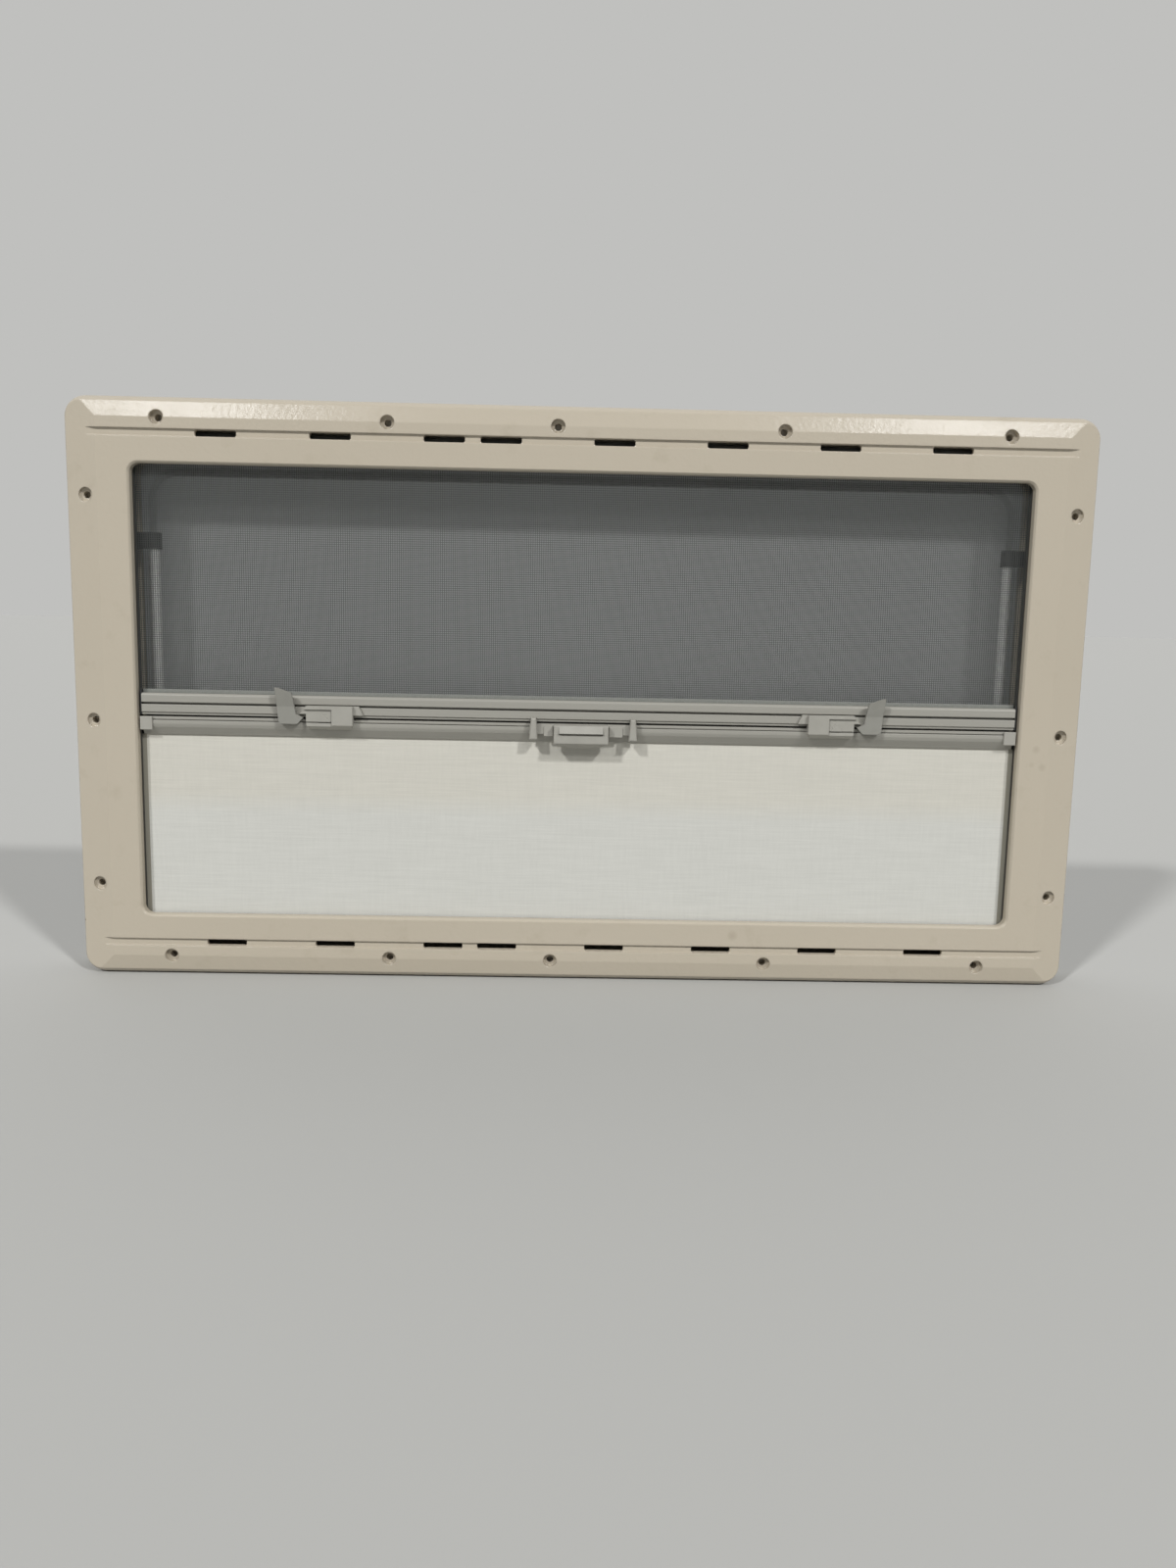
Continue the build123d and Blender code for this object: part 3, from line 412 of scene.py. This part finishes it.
def wound(name, first, second, roll_end):
    """Cloth wound tight on its roller: fine turns round it, and bare pins past its ends."""
    material, tree, shader, place = start(name)
    turns = lines_along(tree, place, (TURN_LENGTH, TURN_WIDTH, TURN_WIDTH), Detail=3.0)
    tone = add(tree, "Mix", {0: turns, 6: linear(first), 7: linear(second)}, data_type="RGBA")
    along = add(tree, "SeparateXYZ", {0: place}).outputs["X"]
    out = add(tree, "Math", {0: along}, operation="ABSOLUTE")
    pin = add(tree, "Math", {0: out.outputs["Value"], 1: roll_end}, operation="GREATER_THAN")
    tone = add(tree, "Mix", {0: pin.outputs["Value"], 6: tone.outputs[2], 7: linear(PIN_STEEL)},
               data_type="RGBA")
    tree.links.new(tone.outputs[2], shader.inputs["Base Color"])
    tree.links.new(pin.outputs["Value"], shader.inputs["Metallic"])
    shader.inputs["Roughness"].default_value = 0.6
    bump = add(tree, "Bump", {"Height": turns, "Strength": 0.4, "Distance": 0.15 * MM})
    tree.links.new(bump.outputs["Normal"], shader.inputs["Normal"])
    return material


dress(wound("wound_fly_screen", WOUND_MESH, WOUND_MESH_LIGHT, width / 2), "screen_roller")
dress(wound("wound_blind", BLIND_SHADE, BLIND, width / 2), "blind_roller")

# Pull bars: two grey plastic extrusions that slide in the guide rails and meet below the middle. The die
# leaves fine lines along them, in a satin face with soft edges.
BAR = "8F8D85"
BAR_LIGHT = "9D9B93"
BAR_LINE_WIDTH = 1.1
BAR_LINE_LENGTH = 180.0
BAR_ROUND = 0.7 * MM
material, tree, shader, place = start("extruded_grey_bar")
lines = lines_along(tree, place, (BAR_LINE_LENGTH, BAR_LINE_WIDTH, BAR_LINE_WIDTH), Detail=4.0, Roughness=0.6)
tone = add(tree, "Mix", {0: lines, 6: linear(BAR), 7: linear(BAR_LIGHT)}, data_type="RGBA")
tree.links.new(tone.outputs[2], shader.inputs["Base Color"])
satin = add(tree, "MapRange", {"Value": lines, "To Min": 0.34, "To Max": 0.50})
tree.links.new(satin.outputs["Result"], shader.inputs["Roughness"])
edge = add(tree, "Bevel", {"Radius": BAR_ROUND}, samples=4)
die = add(tree, "Bump", {"Height": lines, "Strength": 0.15, "Distance": 0.05 * MM,
                         "Normal": edge.outputs["Normal"]})
tree.links.new(die.outputs["Normal"], shader.inputs["Normal"])
dress(material, "screen_bar", "blind_bar")

# Bar ends, handle and catches: grey ABS, moulded with a satin grain and soft edges, clipped to the bars. The
# catches' levers are a shade darker, as painted shade for their upper part, which leans out and faces down.
ABS = "94928A"
ABS_LIGHT = "A2A098"
LEVER_SHADE = "83827B"
LEVER_SHADE_LIGHT = "8F8E87"
ABS_GRAIN = 0.6
RUB_SIZE = 11.0
ABS_ROUND = 0.6 * MM


def moulded_abs(name, first, second):
    """Satin moulded ABS, a little shinier where it is handled."""
    material, tree, shader, place = start(name)
    grain = add(tree, "TexNoise", {"Vector": place, "Scale": per(ABS_GRAIN), "Detail": 2.0})
    rub = add(tree, "TexNoise", {"Vector": place, "Scale": per(RUB_SIZE), "Detail": 4.0})
    tone = add(tree, "Mix", {0: rub.outputs["Fac"], 6: linear(first), 7: linear(second)}, data_type="RGBA")
    tree.links.new(tone.outputs[2], shader.inputs["Base Color"])
    satin = add(tree, "MapRange", {"Value": rub.outputs["Fac"], "To Min": 0.36, "To Max": 0.50})
    tree.links.new(satin.outputs["Result"], shader.inputs["Roughness"])
    edge = add(tree, "Bevel", {"Radius": ABS_ROUND}, samples=4)
    spark = add(tree, "Bump", {"Height": grain.outputs["Fac"], "Strength": 0.12, "Distance": 0.05 * MM,
                               "Normal": edge.outputs["Normal"]})
    tree.links.new(spark.outputs["Normal"], shader.inputs["Normal"])
    return material


dress(moulded_abs("moulded_grey_abs", ABS, ABS_LIGHT), "handle_base", "handle_pull",
      *pair("blind_bar_end", "catch_body"))
# The levers take a darker copy of the same ABS: painted shade.
dress(moulded_abs("moulded_abs_painted_shade", LEVER_SHADE, LEVER_SHADE_LIGHT), *pair("catch_lever"))

# Stage: a plain pale floor under the frame's lower edge, which keeps the window's shadow. It reaches so far
# that its end is lost in the surround.
FLOOR = "AFAFAC"
FLOOR_HALF = 40.0
bm = bmesh.new()
bmesh.ops.create_grid(bm, x_segments=1, y_segments=1, size=FLOOR_HALF,
                      matrix=Matrix.Translation((0, 0, cad_low.z)))
floor_mesh = bpy.data.meshes.new("floor")
bm.to_mesh(floor_mesh)
bm.free()
floor = bpy.data.objects.new("floor", floor_mesh)
bpy.context.scene.collection.objects.link(floor)
floor_material, tree, shader, place = start("pale_floor")
shader.inputs["Base Color"].default_value = linear(FLOOR)
shader.inputs["Roughness"].default_value = 0.9
floor_mesh.materials.append(floor_material)
floor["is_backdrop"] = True

# Surround: a pale colour that the camera, shiny faces and panes see. The light that it gives is weak in
# front, where the lamps are, and stronger behind, so that the window's outer side is seen too.
SURROUND = "C0C0BE"
AMBIENT = 0.10
AMBIENT_BEHIND = 1.0
FILL = "FFFFFF"
FADE_FROM = -0.1         # Y of the direction at which the light begins to grow
FADE_TO = 0.5            # and at which it is full
world = bpy.data.worlds.new("soft_room")
bpy.context.scene.world = world
world.use_nodes = True
tree = world.node_tree
backdrop = tree.nodes["Background"]
backdrop.inputs["Color"].default_value = linear(SURROUND)
backdrop.inputs["Strength"].default_value = 1.0
facing = add(tree, "SeparateXYZ", {0: add(tree, "TexCoord").outputs["Generated"]}).outputs["Y"]
level = add(tree, "MapRange", {"Value": facing, "From Min": FADE_FROM, "From Max": FADE_TO, "To Min": AMBIENT,
                               "To Max": AMBIENT_BEHIND})
fill = add(tree, "Background", {"Color": linear(FILL), "Strength": level.outputs["Result"]})
rays = add(tree, "LightPath").outputs
shine = add(tree, "Math", {0: rays["Is Glossy Ray"], 1: rays["Is Transmission Ray"]}, operation="MAXIMUM")
seen = add(tree, "Math", {0: rays["Is Camera Ray"], 1: shine.outputs["Value"]}, operation="MAXIMUM")
either = add(tree, "MixShader", {0: seen.outputs["Value"], 1: fill.outputs["Background"],
                                 2: backdrop.outputs["Background"]})
tree.links.new(either.outputs["Shader"], tree.nodes["World Output"].inputs["Surface"])

# Lamps: a far lamp high on each side in front, which gives the shadows, and beside each a weaker and wider
# one that gives the paint its gleam.
KEY_STRENGTH = 1.56
KEY_SPREAD = math.radians(4.5)
KEY_TOWARDS = Vector((0.48, -0.62, 0.62))
GLEAM_STRENGTH = 0.26
GLEAM_SPREAD = math.radians(7)
GLEAM_TOWARDS = Vector((0.30, -0.79, 0.53))


def hang_lamp(name, strength, spread, towards):
    """A far lamp that shines on the window from the direction given."""
    lamp = bpy.data.lights.new(name, "SUN")
    lamp.energy = strength
    lamp.angle = spread
    stand = bpy.data.objects.new(name, lamp)
    stand.rotation_euler = (-towards).to_track_quat("-Z", "Y").to_euler()
    bpy.context.scene.collection.objects.link(stand)


for side, name in ((-1, "left"), (1, "right")):
    mirror = Vector((side, 1, 1))
    hang_lamp(f"key_lamp_{name}", KEY_STRENGTH, KEY_SPREAD, KEY_TOWARDS * mirror)
    hang_lamp(f"gleam_lamp_{name}", GLEAM_STRENGTH, GLEAM_SPREAD, GLEAM_TOWARDS * mirror)

# Camera: at the photograph's viewing angle, a little left of the window's middle and above it. Its lens comes
# from the photograph's focal length and height in pixels.
FOCAL_PX = 1200
PHOTO_HEIGHT_PX = 1600
CAMERA_PLACE = Vector((-14.1, -1150.2, 342.6)) * MM
CAMERA_TURN = (81.892, -1.156, -0.961)
camera = bpy.data.cameras.new("camera")
camera.sensor_width = 36.0
camera.lens = camera.sensor_width * FOCAL_PX / PHOTO_HEIGHT_PX
viewer = bpy.data.objects.new("camera", camera)
viewer.location = CAMERA_PLACE
viewer.rotation_euler = [math.radians(angle) for angle in CAMERA_TURN]
bpy.context.scene.collection.objects.link(viewer)
bpy.context.scene.camera = viewer
bpy.context.scene.view_settings.view_transform = "Standard"

low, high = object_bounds()
